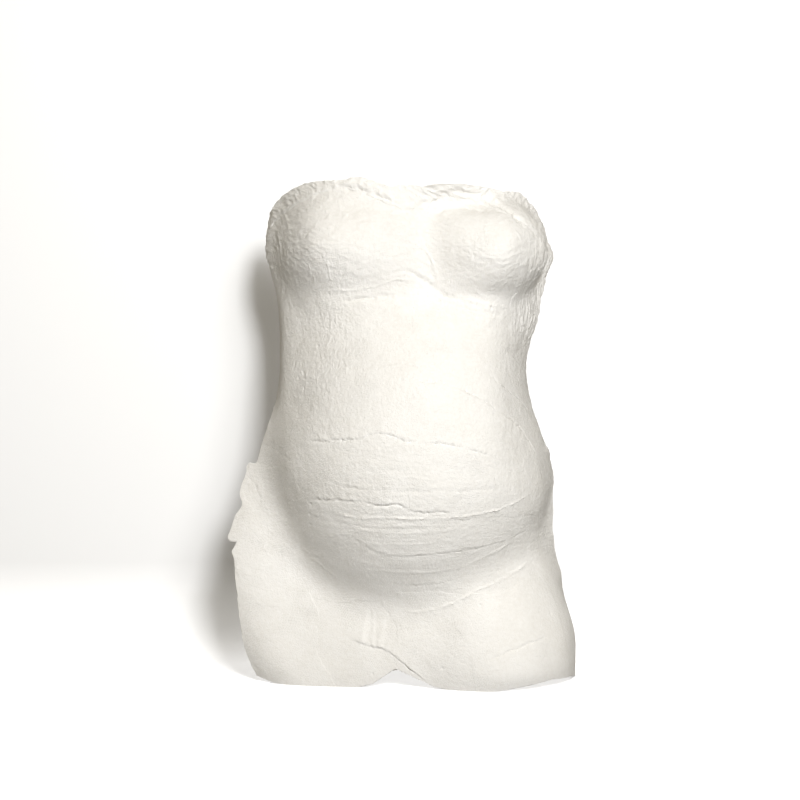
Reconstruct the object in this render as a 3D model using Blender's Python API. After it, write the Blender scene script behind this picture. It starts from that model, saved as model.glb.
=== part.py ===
"""Plaster-bandage torso mould: an open shell laid up from overlapping strips of plaster gauze.

The shell stands on its bottom edge, with its front towards -Y and its open back towards +Y.
+X is to the right of someone who faces the front, and +Z is up. Lengths are in metres.
The outside of the shell is a smooth union of ellipsoids, stretched level by level to the
outline of the cut edges. Every strip is a block of one shared grid on that outside, given
its thickness along the grid's normals, so that strips in two layers lie parallel.
"""
import math

import bmesh
import bpy
import numpy as np

# Driving dimensions
HEIGHT = 0.520            # top of the chest edge above the table
BACKWARD_LEAN = 0.05      # how far the torso leans back for each metre of height, so that it stands
STRIP_THICKNESS = 0.0017  # one strip: several plies of gauze pressed together
GAP = 0.0003              # clearance between neighbouring strips
COLUMNS = 32              # grid cells from the left cut edge to the right one
ROWS = 34                 # grid cells from the bottom edge to the top one
RIGHT_EDGE_ANGLE = math.radians(88.0)   # the right cut edge lies this far round from straight ahead

# The shell's own measuring axis stands at x = 0, depth = 0; the origin is at the middle of the box.
BOX_CENTRE_X = 0.0029
BOX_CENTRE_DEPTH = 0.0624

# Ellipsoids of the body: centre (x, depth, height), radii, how softly each joins the ones
# before it, and its tilt in the frontal plane in degrees.
BODY_FORMS = {
    "rib_cage":      ((0.004, -0.020, 0.430), (0.108, 0.114, 0.215), 0.030, 0),
    "waist":         ((0.006, -0.005, 0.320), (0.116, 0.092, 0.150), 0.030, 0),
    "pelvis":        ((-0.020, -0.050, 0.100), (0.200, 0.088, 0.200), 0.040, 0),
    "left_flare":    ((-0.110, -0.060, 0.125), (0.118, 0.100, 0.125), 0.080, 0),
    "left_thigh":    ((-0.060, -0.030, -0.025), (0.160, 0.108, 0.130), 0.060, 0),
    "right_thigh":   ((0.100, 0.016, -0.005), (0.090, 0.112, 0.165), 0.040, -3),
    "groin":         ((0.020, 0.018, 0.030), (0.100, 0.082, 0.095), 0.060, 0),
    "left_breast":   ((-0.026, 0.048, 0.446), (0.050, 0.052, 0.060), 0.036, 0),
    "right_breast":  ((0.056, 0.058, 0.446), (0.050, 0.048, 0.058), 0.018, 0),
    "belly":         ((0.018, 0.036, 0.248), (0.113, 0.120, 0.142), 0.060, 0),
    "lower_belly":   ((0.004, 0.070, 0.190), (0.092, 0.070, 0.080), 0.060, 8),
}

# How far round from straight ahead the left cut edge lies: (height, degrees). The flat hip ends sooner.
LEFT_EDGE_ANGLE = [(0.00, 78.0), (0.20, 78.0), (0.27, 84.0), (0.32, 88.0), (0.60, 88.0)]

# Cut edges seen from the front: (height, x).
LEFT_EDGE = [
    (0.000, -0.148), (0.030, -0.164), (0.080, -0.174), (0.135, -0.177), (0.190, -0.168),
    (0.245, -0.147), (0.290, -0.131), (0.345, -0.127), (0.400, -0.132), (0.450, -0.143),
    (0.521, -0.134),
]
RIGHT_EDGE = [
    (0.000, 0.187), (0.045, 0.186), (0.095, 0.173), (0.150, 0.165), (0.200, 0.162),
    (0.250, 0.153), (0.290, 0.141), (0.335, 0.137), (0.385, 0.150), (0.445, 0.160),
    (0.521, 0.144),
]

# Bottom and top edges unrolled: (fraction of the way across, height of the edge).
# The bottom rests on the left thigh, on the front of the right thigh and on its rear corner.
BOTTOM_EDGE = [
    (0.00, 0.0070), (0.05, 0.0010), (0.08, 0.0), (0.27, 0.0), (0.31, 0.0040),
    (0.38, 0.0200), (0.46, 0.0020), (0.49, 0.0), (0.60, 0.0), (0.68, 0.0045),
    (0.76, 0.0085), (0.86, 0.0050), (0.93, 0.0), (1.00, 0.0),
]
TOP_EDGE = [
    (0.00, 0.494), (0.06, 0.507), (0.14, 0.5155), (0.34, 0.520), (0.50, 0.514),
    (0.62, 0.515), (0.80, 0.512), (0.92, 0.505), (1.00, 0.482),
]

# Strips: name, first and last column, first and last row. Columns run from the left cut edge.
INNER_STRIPS = [
    ("inner_left_thigh", 0, 8, 0, 4),
    ("inner_groin", 8, 16, 0, 4),
    ("inner_right_thigh", 16, 25, 0, 4),
    ("inner_right_thigh_side", 25, 32, 0, 4),
    ("inner_left_hip", 0, 9, 4, 14),
    ("inner_lower_belly", 9, 22, 4, 14),
    ("inner_right_hip", 22, 32, 4, 14),
    ("inner_left_waist", 0, 10, 14, 24),
    ("inner_belly", 10, 20, 14, 24),
    ("inner_right_waist", 20, 32, 14, 24),
    ("inner_left_chest", 0, 11, 24, 34),
    ("inner_middle_chest", 11, 22, 24, 34),
    ("inner_right_chest", 22, 32, 24, 34),
]
OUTER_STRIPS = [
    ("left_thigh_side_strip", 0, 6, 0, 5),
    ("left_thigh_front_strip", 6, 13, 0, 6),
    ("groin_strip", 13, 18, 0, 6),
    ("right_thigh_front_strip", 18, 27, 0, 6),
    ("right_thigh_side_strip", 27, 32, 0, 5),
    ("left_hip_strip", 0, 6, 5, 10),
    ("right_hip_lower_strip", 27, 32, 5, 10),
    ("under_belly_left_strip", 6, 16, 6, 12),
    ("under_belly_right_strip", 16, 27, 6, 12),
    ("left_hip_flap", 0, 6, 10, 15),
    ("right_hip_upper_strip", 27, 32, 10, 17),
    ("belly_band_left", 6, 16, 12, 17),
    ("belly_band_right", 16, 27, 12, 17),
    ("left_flank_strip", 0, 6, 15, 17),
    ("left_waist_strip", 0, 7, 17, 27),
    ("middle_belly_left_strip", 7, 17, 17, 21),
    ("middle_belly_right_strip", 17, 26, 17, 21),
    ("right_waist_strip", 26, 32, 17, 27),
    ("upper_belly_left_strip", 7, 17, 21, 27),
    ("upper_belly_right_strip", 17, 26, 21, 27),
    ("left_chest_strip", 0, 7, 27, 34),
    ("left_breast_strip", 7, 16, 27, 34),
    ("breastbone_strip", 16, 19, 27, 34),
    ("right_breast_strip", 19, 27, 27, 34),
    ("right_chest_strip", 27, 32, 27, 34),
]
# The gauze is folded over on to the front along the chest edge.
FOLDED_STRIPS = [
    ("top_fold_left", 1, 11, 32, 34),
    ("top_fold_middle", 11, 20, 32, 34),
    ("top_fold_right", 20, 31, 32, 34),
]
# How far each layer's outer face stands out from the body's outside.
LAYERS = {
    "inner": (-(STRIP_THICKNESS + GAP), INNER_STRIPS, (0.80, 0.78, 0.73), 0.85),
    "outer": (0.0, OUTER_STRIPS, (0.87, 0.85, 0.80), 0.70),
    "folded": (STRIP_THICKNESS + GAP, FOLDED_STRIPS, (0.90, 0.88, 0.84), 0.75),
}
# Strips that stick out past the left cut edge, in cells.
LEFT_REACH = {"left_hip_flap": 0.45}


def clear_scene():
    """Remove whatever the file already holds."""
    for item in list(bpy.data.objects):
        bpy.data.objects.remove(item, do_unlink=True)


def ellipsoid_distance(points, centre, radii, tilt_degrees):
    """Approximate signed distance from points to an ellipsoid."""
    local = points - np.array(centre)
    tilt = math.radians(tilt_degrees)
    x = local[..., 0] * math.cos(tilt) - local[..., 2] * math.sin(tilt)
    z = local[..., 0] * math.sin(tilt) + local[..., 2] * math.cos(tilt)
    local = np.stack([x, local[..., 1], z], axis=-1)
    scaled = np.linalg.norm(local / np.array(radii), axis=-1)
    gradient = np.linalg.norm(local / np.array(radii) ** 2, axis=-1)
    return scaled * (scaled - 1.0) / np.maximum(gradient, 1e-9)


def body_distance(points):
    """Signed distance to the smooth union of all the body's forms."""
    total = None
    for centre, radii, softness, tilt in BODY_FORMS.values():
        distance = ellipsoid_distance(points, centre, radii, tilt)
        if total is None:
            total = distance
            continue
        share = np.clip(0.5 + 0.5 * (total - distance) / softness, 0.0, 1.0)
        total = total * (1.0 - share) + distance * share - softness * share * (1.0 - share)
    return total


def body_radius(angle, height):
    """Distance from the measuring axis to the body's outside, found by halving."""
    near = np.full(np.broadcast(angle, height).shape, 0.005)
    far = np.full_like(near, 0.320)
    for _ in range(24):
        middle = 0.5 * (near + far)
        points = np.stack([middle * np.sin(angle), middle * np.cos(angle), height + 0 * middle], axis=-1)
        inside = body_distance(points) < 0.0
        near = np.where(inside, middle, near)
        far = np.where(inside, far, middle)
    return 0.5 * (near + far)


def smooth_curve(table, at):
    """Cubic curve through a table's points, with the slope at each taken from its neighbours."""
    knots, values = np.array(table).T
    slopes = np.gradient(values, knots)
    at = np.clip(at, knots[0], knots[-1])
    index = np.clip(np.searchsorted(knots, at, side="right") - 1, 0, len(knots) - 2)
    width = knots[index + 1] - knots[index]
    s = (at - knots[index]) / width
    start = (2 * s**3 - 3 * s**2 + 1) * values[index] + (s**3 - 2 * s**2 + s) * width * slopes[index]
    end = (3 * s**2 - 2 * s**3) * values[index + 1] + (s**3 - s**2) * width * slopes[index + 1]
    return start + end


def straight_curve(table, at):
    """Straight stretches between a table's points."""
    knots, values = np.array(table).T
    return np.interp(at, knots, values)


def left_edge_angle(height):
    """How far round the left cut edge lies at a height."""
    return -np.radians(smooth_curve(LEFT_EDGE_ANGLE, height))


def skin_point(angle, height):
    """Point on the outside of the shell: x, depth and height."""
    radius = body_radius(angle, height)
    left_angle = left_edge_angle(height)
    left = body_radius(left_angle, height) * np.sin(left_angle)
    right = body_radius(np.full_like(radius, RIGHT_EDGE_ANGLE), height) * math.sin(RIGHT_EDGE_ANGLE)
    across = (radius * np.sin(angle) - left) / (right - left)
    edge_left = smooth_curve(LEFT_EDGE, height)
    edge_right = smooth_curve(RIGHT_EDGE, height)
    x = edge_left + across * (edge_right - edge_left)
    depth = radius * np.cos(angle) - BACKWARD_LEAN * height
    return np.stack([x, depth, height + 0 * radius], axis=-1)


def column_angles(fractions, levels):
    """For each level, the angles at the given fractions of the way round the skin."""
    start = left_edge_angle(levels)[:, None]
    angle = start + (RIGHT_EDGE_ANGLE - start) * np.linspace(0.0, 1.0, 121)
    points = skin_point(angle, levels[:, None] + 0.0 * angle)
    steps = np.linalg.norm(np.diff(points[..., :2], axis=1), axis=-1)
    travelled = np.concatenate([np.zeros((len(levels), 1)), np.cumsum(steps, axis=1)], axis=1)
    travelled /= travelled[:, -1:]
    return np.array([np.interp(fractions, *row) for row in zip(travelled, angle)])


def smooth_step(value):
    value = np.clip(value, 0.0, 1.0)
    return value * value * (3.0 - 2.0 * value)


def hump(height, middle, width):
    return np.exp(-(((height - middle) / width) ** 2))


def grid_heights(across, up):
    """Heights of the grid's rows. They droop to the right over the belly, as the strips were laid."""
    level = HEIGHT * up
    off_the_table = smooth_step(up * ROWS / 2.0)   # the bottom row itself keeps to its own edge
    right = smooth_step((across - 0.5) / 0.5) * off_the_table
    left = smooth_step((0.5 - across) / 0.5) * off_the_table
    level = level - 0.045 * hump(level, 0.27, 0.085) * right
    level = level - 0.010 * hump(level, 0.27, 0.085) * left
    level = level - 0.014 * hump(level, 0.405, 0.045) * (2.0 * across - 1.0) ** 2 * off_the_table
    level = level + 0.016 * hump(level, 0.10, 0.045) * right
    level = level + straight_curve(BOTTOM_EDGE, across) * (1.0 - up) ** 8
    return level + (smooth_curve(TOP_EDGE, across) - HEIGHT) * up**4


def skin_grid():
    """Points and outward normals of the shared grid, indexed [row, column]."""
    fractions = np.linspace(0.0, 1.0, COLUMNS + 1)
    across, up = np.meshgrid(fractions, np.linspace(0.0, 1.0, ROWS + 1))
    height = grid_heights(across, up)
    levels = np.linspace(0.0, HEIGHT + 0.004, 80)
    angles = column_angles(fractions, levels)
    angle = np.stack([np.interp(height[:, i], levels, angles[:, i]) for i in range(COLUMNS + 1)], axis=1)
    points = skin_point(angle, height)
    points = np.stack([
        points[..., 0] - BOX_CENTRE_X,
        BOX_CENTRE_DEPTH - points[..., 1],
        points[..., 2],
    ], axis=-1)
    normals = np.cross(np.gradient(points, axis=1), np.gradient(points, axis=0))
    normals[0, :, 2] = 0.0   # the bottom edge keeps its height through the whole thickness
    normals /= np.linalg.norm(normals, axis=-1, keepdims=True)
    return points, normals


def block_places(first, last, size):
    """Grid places of a block's lines, with its own two outer lines pulled in by half a gap."""
    places = [float(line) for line in range(first, last + 1)]
    pull = 0.5 * GAP / size
    if first > 0:
        places[0] += pull
    places[-1] -= pull
    return places


def sample_face(face, row_place, column_place):
    """Point of a face at a place between the grid's lines, or a little outside them."""
    row = min(int(max(row_place, 0.0)), face.shape[0] - 2)
    column = min(int(max(column_place, 0.0)), face.shape[1] - 2)
    down, side = row_place - row, column_place - column
    low = face[row, column] * (1.0 - side) + face[row, column + 1] * side
    high = face[row + 1, column] * (1.0 - side) + face[row + 1, column + 1] * side
    return low * (1.0 - down) + high * down


def build_strip(name, block, faces, colour, roughness):
    """One strip: the block of the grid between two parallel faces, closed all round."""
    first_column, last_column, first_row, last_row = block
    columns = block_places(first_column, last_column, CELL_WIDTH)
    rows = block_places(first_row, last_row, CELL_HEIGHT)
    columns[0] -= LEFT_REACH.get(name, 0.0)
    mesh = bmesh.new()
    sheets = []
    for face in faces:
        sheets.append([[mesh.verts.new(sample_face(face, r, c)) for c in columns] for r in rows])
    outer, inner = sheets
    for j in range(len(rows) - 1):
        for i in range(len(columns) - 1):
            a, b = outer[j][i], outer[j][i + 1]
            c, d = outer[j + 1][i + 1], outer[j + 1][i]
            mesh.faces.new((a, b, c))
            mesh.faces.new((a, c, d))
            a, b = inner[j][i], inner[j][i + 1]
            c, d = inner[j + 1][i + 1], inner[j + 1][i]
            mesh.faces.new((c, b, a))
            mesh.faces.new((d, c, a))
    for j in range(len(rows) - 1):
        mesh.faces.new((outer[j][0], outer[j + 1][0], inner[j + 1][0], inner[j][0]))
        mesh.faces.new((outer[j + 1][-1], outer[j][-1], inner[j][-1], inner[j + 1][-1]))
    for i in range(len(columns) - 1):
        mesh.faces.new((outer[0][i + 1], outer[0][i], inner[0][i], inner[0][i + 1]))
        mesh.faces.new((outer[-1][i], outer[-1][i + 1], inner[-1][i + 1], inner[-1][i]))
    data = bpy.data.meshes.new(name)
    mesh.to_mesh(data)
    mesh.free()
    data.shade_smooth()
    data.set_sharp_from_angle(angle=math.radians(45.0))
    data.materials.append(plaster(name, colour, roughness))
    strip = bpy.data.objects.new(name, data)
    bpy.context.scene.collection.objects.link(strip)
    return strip


def plaster(name, colour, roughness):
    """Dry plaster for one strip."""
    material = bpy.data.materials.new(name + "_plaster")
    material.use_nodes = True
    shader = material.node_tree.nodes["Principled BSDF"]
    shader.inputs["Base Color"].default_value = (*colour, 1.0)
    shader.inputs["Roughness"].default_value = roughness
    shader.inputs["Metallic"].default_value = 0.0
    return material


CELL_WIDTH = 0.014    # about the width of one grid cell, which only sets how far a strip is pulled in
CELL_HEIGHT = HEIGHT / ROWS

clear_scene()
grid_points, grid_normals = skin_grid()
for outer_offset, strips, layer_colour, layer_roughness in LAYERS.values():
    inner_offset = outer_offset - STRIP_THICKNESS
    layer_faces = (grid_points + grid_normals * outer_offset, grid_points + grid_normals * inner_offset)
    for strip_name, *strip_block in strips:
        build_strip(strip_name, strip_block, layer_faces, layer_colour, layer_roughness)
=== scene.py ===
"""Looks of the plaster-bandage torso mould: every strip of the shell as real, uneven plaster gauze.

Lengths are in metres, in the row frame: front towards -Y, open back towards +Y, +Z up.
The skin is worked out again from the same body forms as the CAD model and set in its box.
One relief, made of lumps, wrinkles, cracks, folds and pinholes, is shared by all strips.
"""

import math

import bpy
import numpy as np
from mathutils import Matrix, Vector


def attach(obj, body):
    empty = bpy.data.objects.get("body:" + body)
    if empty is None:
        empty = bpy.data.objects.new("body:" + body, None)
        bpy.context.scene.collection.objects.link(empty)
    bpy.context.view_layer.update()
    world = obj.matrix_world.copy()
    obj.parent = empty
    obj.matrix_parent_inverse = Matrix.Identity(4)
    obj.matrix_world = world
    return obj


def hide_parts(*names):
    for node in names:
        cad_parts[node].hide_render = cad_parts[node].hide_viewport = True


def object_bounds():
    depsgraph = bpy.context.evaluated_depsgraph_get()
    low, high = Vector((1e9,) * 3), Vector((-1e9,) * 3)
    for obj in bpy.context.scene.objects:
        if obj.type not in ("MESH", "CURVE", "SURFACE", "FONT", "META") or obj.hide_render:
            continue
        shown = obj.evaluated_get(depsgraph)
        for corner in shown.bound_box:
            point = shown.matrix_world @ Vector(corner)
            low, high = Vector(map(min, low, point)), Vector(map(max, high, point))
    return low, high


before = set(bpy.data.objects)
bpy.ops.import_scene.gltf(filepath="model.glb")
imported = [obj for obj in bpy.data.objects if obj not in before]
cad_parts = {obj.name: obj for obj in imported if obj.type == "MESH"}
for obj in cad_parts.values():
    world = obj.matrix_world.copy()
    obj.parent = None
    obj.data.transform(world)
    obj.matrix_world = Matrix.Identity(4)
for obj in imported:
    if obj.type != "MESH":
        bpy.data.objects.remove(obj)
cad_low, cad_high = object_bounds()

# ---------------- the body, as in the CAD model
HEIGHT = .52
BACKWARD_LEAN = .05         # depth lost for each metre of height
STRIP_THICKNESS = .0017
COLUMNS, ROWS = 32, 34      # cells of the CAD grid
RIGHT_EDGE_ANGLE = math.radians(88.0)
AXIS_TO_SKIN = (.005, .32)  # between these distances from the measuring axis the skin is looked for

# Ellipsoids: centre (x, depth, height), radii, softness of the join, tilt in degrees.
BODY_FORMS = {
    "rib_cage": ((.004, -.02, .43), (.108, .114, .215), .03, 0),
    "waist": ((.006, -.005, .32), (.116, .092, .15), .03, 0),
    "pelvis": ((-.02, -.05, .1), (.2, .088, .2), .04, 0),
    "left_flare": ((-.11, -.06, .125), (.118, .1, .125), .08, 0),
    "left_thigh": ((-.06, -.03, -.025), (.16, .108, .13), .06, 0),
    "right_thigh": ((.1, .016, -.005), (.09, .112, .165), .04, -3),
    "groin": ((.02, .018, .03), (.1, .082, .095), .06, 0),
    "left_breast": ((-.026, .048, .446), (.05, .052, .06), .036, 0),
    "right_breast": ((.056, .058, .446), (.05, .048, .058), .018, 0),
    "belly": ((.018, .036, .248), (.113, .12, .142), .06, 0),
    "lower_belly": ((.004, .07, .19), (.092, .07, .08), .06, 8),
}

# How far round from straight ahead the left cut edge lies: (height, degrees).
LEFT_EDGE_ANGLE = [(0.0, 78.0), (.2, 78.0), (.27, 84.0), (.32, 88.0), (.6, 88.0)]

# Cut edges seen from the front: (height, x).
LEFT_EDGE = [
    (0.0, -.148), (.03, -.164), (.08, -.174), (.135, -.177), (.19, -.168), (.245, -.147),
    (.29, -.131), (.345, -.127), (.4, -.132), (.45, -.143), (.521, -.134),
]
RIGHT_EDGE = [
    (0.0, .187), (.045, .186), (.095, .173), (.15, .165), (.2, .162), (.25, .153), (.29, .141),
    (.335, .137), (.385, .15), (.445, .16), (.521, .144),
]
# Bottom and top edges unrolled: (fraction of the way across, height).
BOTTOM_EDGE = [
    (0.0, .007), (.05, .001), (.08, 0.0), (.27, 0.0), (.31, .004), (.38, .02), (.46, .002),
    (.49, 0.0), (.6, 0.0), (.68, .0045), (.76, .0085), (.86, .005), (.93, 0.0), (1.0, 0.0),
]
TOP_EDGE = [
    (0.0, .494), (.06, .507), (.14, .5155), (.34, .52), (.5, .514), (.62, .515), (.8, .512),
    (.92, .505), (1.0, .482),
]

# Strips: name, first and last column, first and last row, rank. A higher rank lies on top.
INNER_STRIPS = [
    ("inner_left_thigh", 0, 8, 0, 4, 0),
    ("inner_groin", 8, 16, 0, 4, 2),
    ("inner_right_thigh", 16, 25, 0, 4, 0),
    ("inner_right_thigh_side", 25, 32, 0, 4, 1),
    ("inner_left_hip", 0, 9, 4, 14, 1),
    ("inner_lower_belly", 9, 22, 4, 14, 3),
    ("inner_right_hip", 22, 32, 4, 14, 2),
    ("inner_left_waist", 0, 10, 14, 24, 2),
    ("inner_belly", 10, 20, 14, 24, 0),
    ("inner_right_waist", 20, 32, 14, 24, 1),
    ("inner_left_chest", 0, 11, 24, 34, 3),
    ("inner_middle_chest", 11, 22, 24, 34, 1),
    ("inner_right_chest", 22, 32, 24, 34, 2),
]
OUTER_STRIPS = [
    ("left_thigh_side_strip", 0, 6, 0, 5, 1),
    ("left_thigh_front_strip", 6, 13, 0, 6, 0),
    ("groin_strip", 13, 18, 0, 6, 2),
    ("right_thigh_front_strip", 18, 27, 0, 6, 3),
    ("right_thigh_side_strip", 27, 32, 0, 5, 1),
    ("left_hip_strip", 0, 6, 5, 10, 2),
    ("right_hip_lower_strip", 27, 32, 5, 10, 2),
    ("under_belly_left_strip", 6, 16, 6, 12, 1),
    ("under_belly_right_strip", 16, 27, 6, 12, 0),
    ("left_hip_flap", 0, 6, 10, 15, 3),
    ("right_hip_upper_strip", 27, 32, 10, 17, 1),
    ("belly_band_left", 6, 16, 12, 17, 2),
    ("belly_band_right", 16, 27, 12, 17, 3),
    ("left_flank_strip", 0, 6, 15, 17, 0),
    ("left_waist_strip", 0, 7, 17, 27, 1),
    ("middle_belly_left_strip", 7, 17, 17, 21, 3),
    ("middle_belly_right_strip", 17, 26, 17, 21, 2),
    ("right_waist_strip", 26, 32, 17, 27, 3),
    ("upper_belly_left_strip", 7, 17, 21, 27, 0),
    ("upper_belly_right_strip", 17, 26, 21, 27, 1),
    ("left_chest_strip", 0, 7, 27, 34, 2),
    ("left_breast_strip", 7, 16, 27, 34, 1),
    ("breastbone_strip", 16, 19, 27, 34, 0),
    ("right_breast_strip", 19, 27, 27, 34, 3),
    ("right_chest_strip", 27, 32, 27, 34, 1),
]
FOLDED_STRIPS = [
    ("top_fold_left", 1, 11, 32, 34, 0),
    ("top_fold_middle", 11, 20, 32, 34, 1),
    ("top_fold_right", 20, 31, 32, 34, 0),
]

# ---------------- the visual grid
FINE = 16            # steps of the fine grid for each cell of the CAD grid
MARGIN = 24          # fine steps that the grid goes on past the cut edges
ACROSS_LENGTH = .46  # about how long the shell is across, along its surface
UP_LENGTH = .56      # and from bottom to top
LIFT = .00012        # how much further out a strip lies for each step of its rank
FLAP_REACH = .45     # how far the left hip's flap sticks out past the left edge, in CAD cells
COARSE = 4           # fine steps for each step of a strip's hidden face
EDGE_BULGE = .00035  # how far a strip's edge rounds out between its two faces


def ellipsoid_distance(points, centre, radii, tilt_degrees):
    """Approximate signed distance from points to an ellipsoid."""
    local = points - np.array(centre)
    tilt = math.radians(tilt_degrees)
    x = local[..., 0] * math.cos(tilt) - local[..., 2] * math.sin(tilt)
    z = local[..., 0] * math.sin(tilt) + local[..., 2] * math.cos(tilt)
    local = np.stack([x, local[..., 1], z], axis=-1)
    scaled = np.linalg.norm(local / np.array(radii), axis=-1)
    gradient = np.linalg.norm(local / np.array(radii) ** 2, axis=-1)
    return scaled * (scaled - 1.0) / np.maximum(gradient, 1e-9)


def body_distance(points):
    """Signed distance to the smooth union of all the body's forms."""
    total = None
    for centre, radii, softness, tilt in BODY_FORMS.values():
        distance = ellipsoid_distance(points, centre, radii, tilt)
        if total is None:
            total = distance
            continue
        share = np.clip(.5 + .5 * (total - distance) / softness, 0.0, 1.0)
        total = total * (1.0 - share) + distance * share - softness * share * (1.0 - share)
    return total


def body_radius(angle, height):
    """Distance from the measuring axis to the body's outside, found by halving."""
    near = np.full(np.broadcast(angle, height).shape, AXIS_TO_SKIN[0])
    far = np.full_like(near, AXIS_TO_SKIN[1])
    for _ in range(20):
        middle = .5 * (near + far)
        points = np.stack([middle * np.sin(angle), middle * np.cos(angle), height + 0 * middle], axis=-1)
        inside = body_distance(points) < 0.0
        near = np.where(inside, middle, near)
        far = np.where(inside, far, middle)
    return .5 * (near + far)


def smooth_curve(table, at):
    """Cubic curve through a table's points, with the slope at each taken from its neighbours."""
    knots, values = np.array(table).T
    slopes = np.gradient(values, knots)
    at = np.clip(at, knots[0], knots[-1])
    index = np.clip(np.searchsorted(knots, at, side="right") - 1, 0, len(knots) - 2)
    width = knots[index + 1] - knots[index]
    s = (at - knots[index]) / width
    start = (2 * s**3 - 3 * s**2 + 1) * values[index] + (s**3 - 2 * s**2 + s) * width * slopes[index]
    end = (3 * s**2 - 2 * s**3) * values[index + 1] + (s**3 - s**2) * width * slopes[index + 1]
    return start + end


def smooth_step(value):
    value = np.clip(value, 0.0, 1.0)
    return value * value * (3.0 - 2.0 * value)


def hump(value, middle, width):
    return np.exp(-(((value - middle) / width) ** 2))


def travelled(points, axis):
    """How far each point of a line or grid lies from the first one, going along an axis."""
    steps = np.linalg.norm(np.diff(points, axis=axis), axis=-1)
    start = np.zeros_like(np.take(steps, [0], axis=axis))
    return np.concatenate([start, np.cumsum(steps, axis=axis)], axis=axis)


def left_edge_angle(height):
    """How far round the left cut edge lies at a height."""
    return -np.radians(smooth_curve(LEFT_EDGE_ANGLE, height))


def edge_reach():
    """For a run of heights, how far out the left and right cut edges lie before stretching."""
    levels = np.linspace(-.002, HEIGHT + .03, 120)
    angle = left_edge_angle(levels)
    left = body_radius(angle, levels) * np.sin(angle)
    right = body_radius(np.full_like(levels, RIGHT_EDGE_ANGLE), levels) * math.sin(RIGHT_EDGE_ANGLE)
    return levels, left, right


def skin_point(angle, height, reach):
    """Point on the outside of the shell: x, depth and height."""
    radius = body_radius(angle, height)
    levels, left, right = reach
    left = np.interp(height, levels, left)
    right = np.interp(height, levels, right)
    across = (radius * np.sin(angle) - left) / (right - left)
    edge_left = smooth_curve(LEFT_EDGE, height)
    edge_right = smooth_curve(RIGHT_EDGE, height)
    x = edge_left + across * (edge_right - edge_left)
    depth = radius * np.cos(angle) - BACKWARD_LEAN * height
    return np.stack([x, depth, height + 0 * radius], axis=-1)


def column_angles(fractions, levels, reach):
    """For each level, the angles at the given fractions of the way round, also a little past the ends."""
    samples = np.linspace(-1.12 * RIGHT_EDGE_ANGLE, 1.12 * RIGHT_EDGE_ANGLE, 141)
    angle, height = np.meshgrid(samples, levels)
    rows = []
    for level, row in zip(levels, travelled(skin_point(angle, height, reach)[..., :2], 1)):
        start, end = np.interp((left_edge_angle(level), RIGHT_EDGE_ANGLE), samples, row)
        rows.append(np.interp(fractions, (row - start) / (end - start), samples))
    return np.array(rows)


def grid_heights(across, up):
    """Heights of the grid's rows. They droop to the right over the belly, as the strips were laid."""
    level = HEIGHT * up
    off_the_table = smooth_step(up * ROWS / 2.0)
    right = smooth_step((across - .5) / .5) * off_the_table
    left = smooth_step((.5 - across) / .5) * off_the_table
    level = level - .045 * hump(level, .27, .085) * right
    level = level - .01 * hump(level, .27, .085) * left
    level = level - .014 * hump(level, .405, .045) * (2.0 * across - 1.0) ** 2 * off_the_table
    level = level + .016 * hump(level, .1, .045) * right
    level = level + np.interp(across, *np.array(BOTTOM_EDGE).T) * np.maximum(1.0 - up, 0.0) ** 8
    return level + (smooth_curve(TOP_EDGE, across) - HEIGHT) * up**4


def noise(seed, x, y):
    """Smooth random field with about one lump for each unit of x and y, from about -1 to 1."""
    angles = np.random.default_rng(seed).uniform(0.0, 2.0 * math.pi, (256, 256))
    column, row = np.floor(x).astype(int), np.floor(y).astype(int)
    a, b = x - column, y - row

    def corner(i, j):
        angle = angles[(row + j) % 256, (column + i) % 256]
        return np.cos(angle) * (a - i) + np.sin(angle) * (b - j)

    fade_a = a**3 * (a * (6.0 * a - 15.0) + 10.0)
    fade_b = b**3 * (b * (6.0 * b - 15.0) + 10.0)
    low = corner(0, 0) * (1.0 - fade_a) + corner(1, 0) * fade_a
    high = corner(0, 1) * (1.0 - fade_a) + corner(1, 1) * fade_a
    return 1.5 * (low * (1.0 - fade_b) + high * fade_b)


def ridges(seed, x, y):
    """Random field of sharp crests on a flat ground, 0 to 1."""
    return np.clip(1.0 - 2.2 * np.abs(noise(seed, x, y)), 0.0, 1.0) ** 1.5


# Soft swells and hollows of the whole shell: middle (x and height), half width, half height,
# and how far forward the shell is pushed there, or back where that is negative.
SWELLS = {
    "between_the_breasts": (.026, .44, .022, .055, -.007),
    "left_breast": (-.05, .45, .055, .032, .0045),
    "left_breast_outer": (-.096, .452, .03, .05, .0085),
    "right_breast": (.086, .444, .04, .034, .0065),
    "right_breast_outer": (.108, .446, .024, .036, .0085),
    "left_chest_side": (-.15, .45, .046, .07, -.014),
    "right_breast_side": (.15, .44, .03, .055, -.011),
    "under_left_breast": (-.05, .406, .07, .014, -.0032),
    "under_right_breast": (.08, .4, .055, .012, -.0042),
    "above_right_breast": (.068, .494, .048, .011, -.01),
    "above_left_breast": (-.045, .492, .046, .012, -.0035),
    "middle_notch": (.022, .5, .009, .022, -.003),
    "right_top_lip": (.062, .52, .05, .01, .0085),
    "left_top_lip": (-.055, .52, .04, .01, .003),
    "right_waist": (.096, .345, .026, .085, .006),
    "right_waist_side": (.138, .335, .028, .085, -.008),
    "left_waist": (-.09, .34, .028, .085, .0015),
    "left_waist_side": (-.144, .335, .028, .07, .019),
    "left_belly_side": (-.144, .262, .028, .045, .014),
    "right_belly_side": (.145, .27, .036, .08, -.009),
    "left_thigh_side": (-.175, .075, .055, .08, .018),
    "left_thigh_foot": (-.11, -.01, .085, .06, .023),
    "right_thigh_foot": (.13, -.004, .052, .014, -.009),
    "right_thigh_side": (.175, .06, .025, .06, .005),
}

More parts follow.
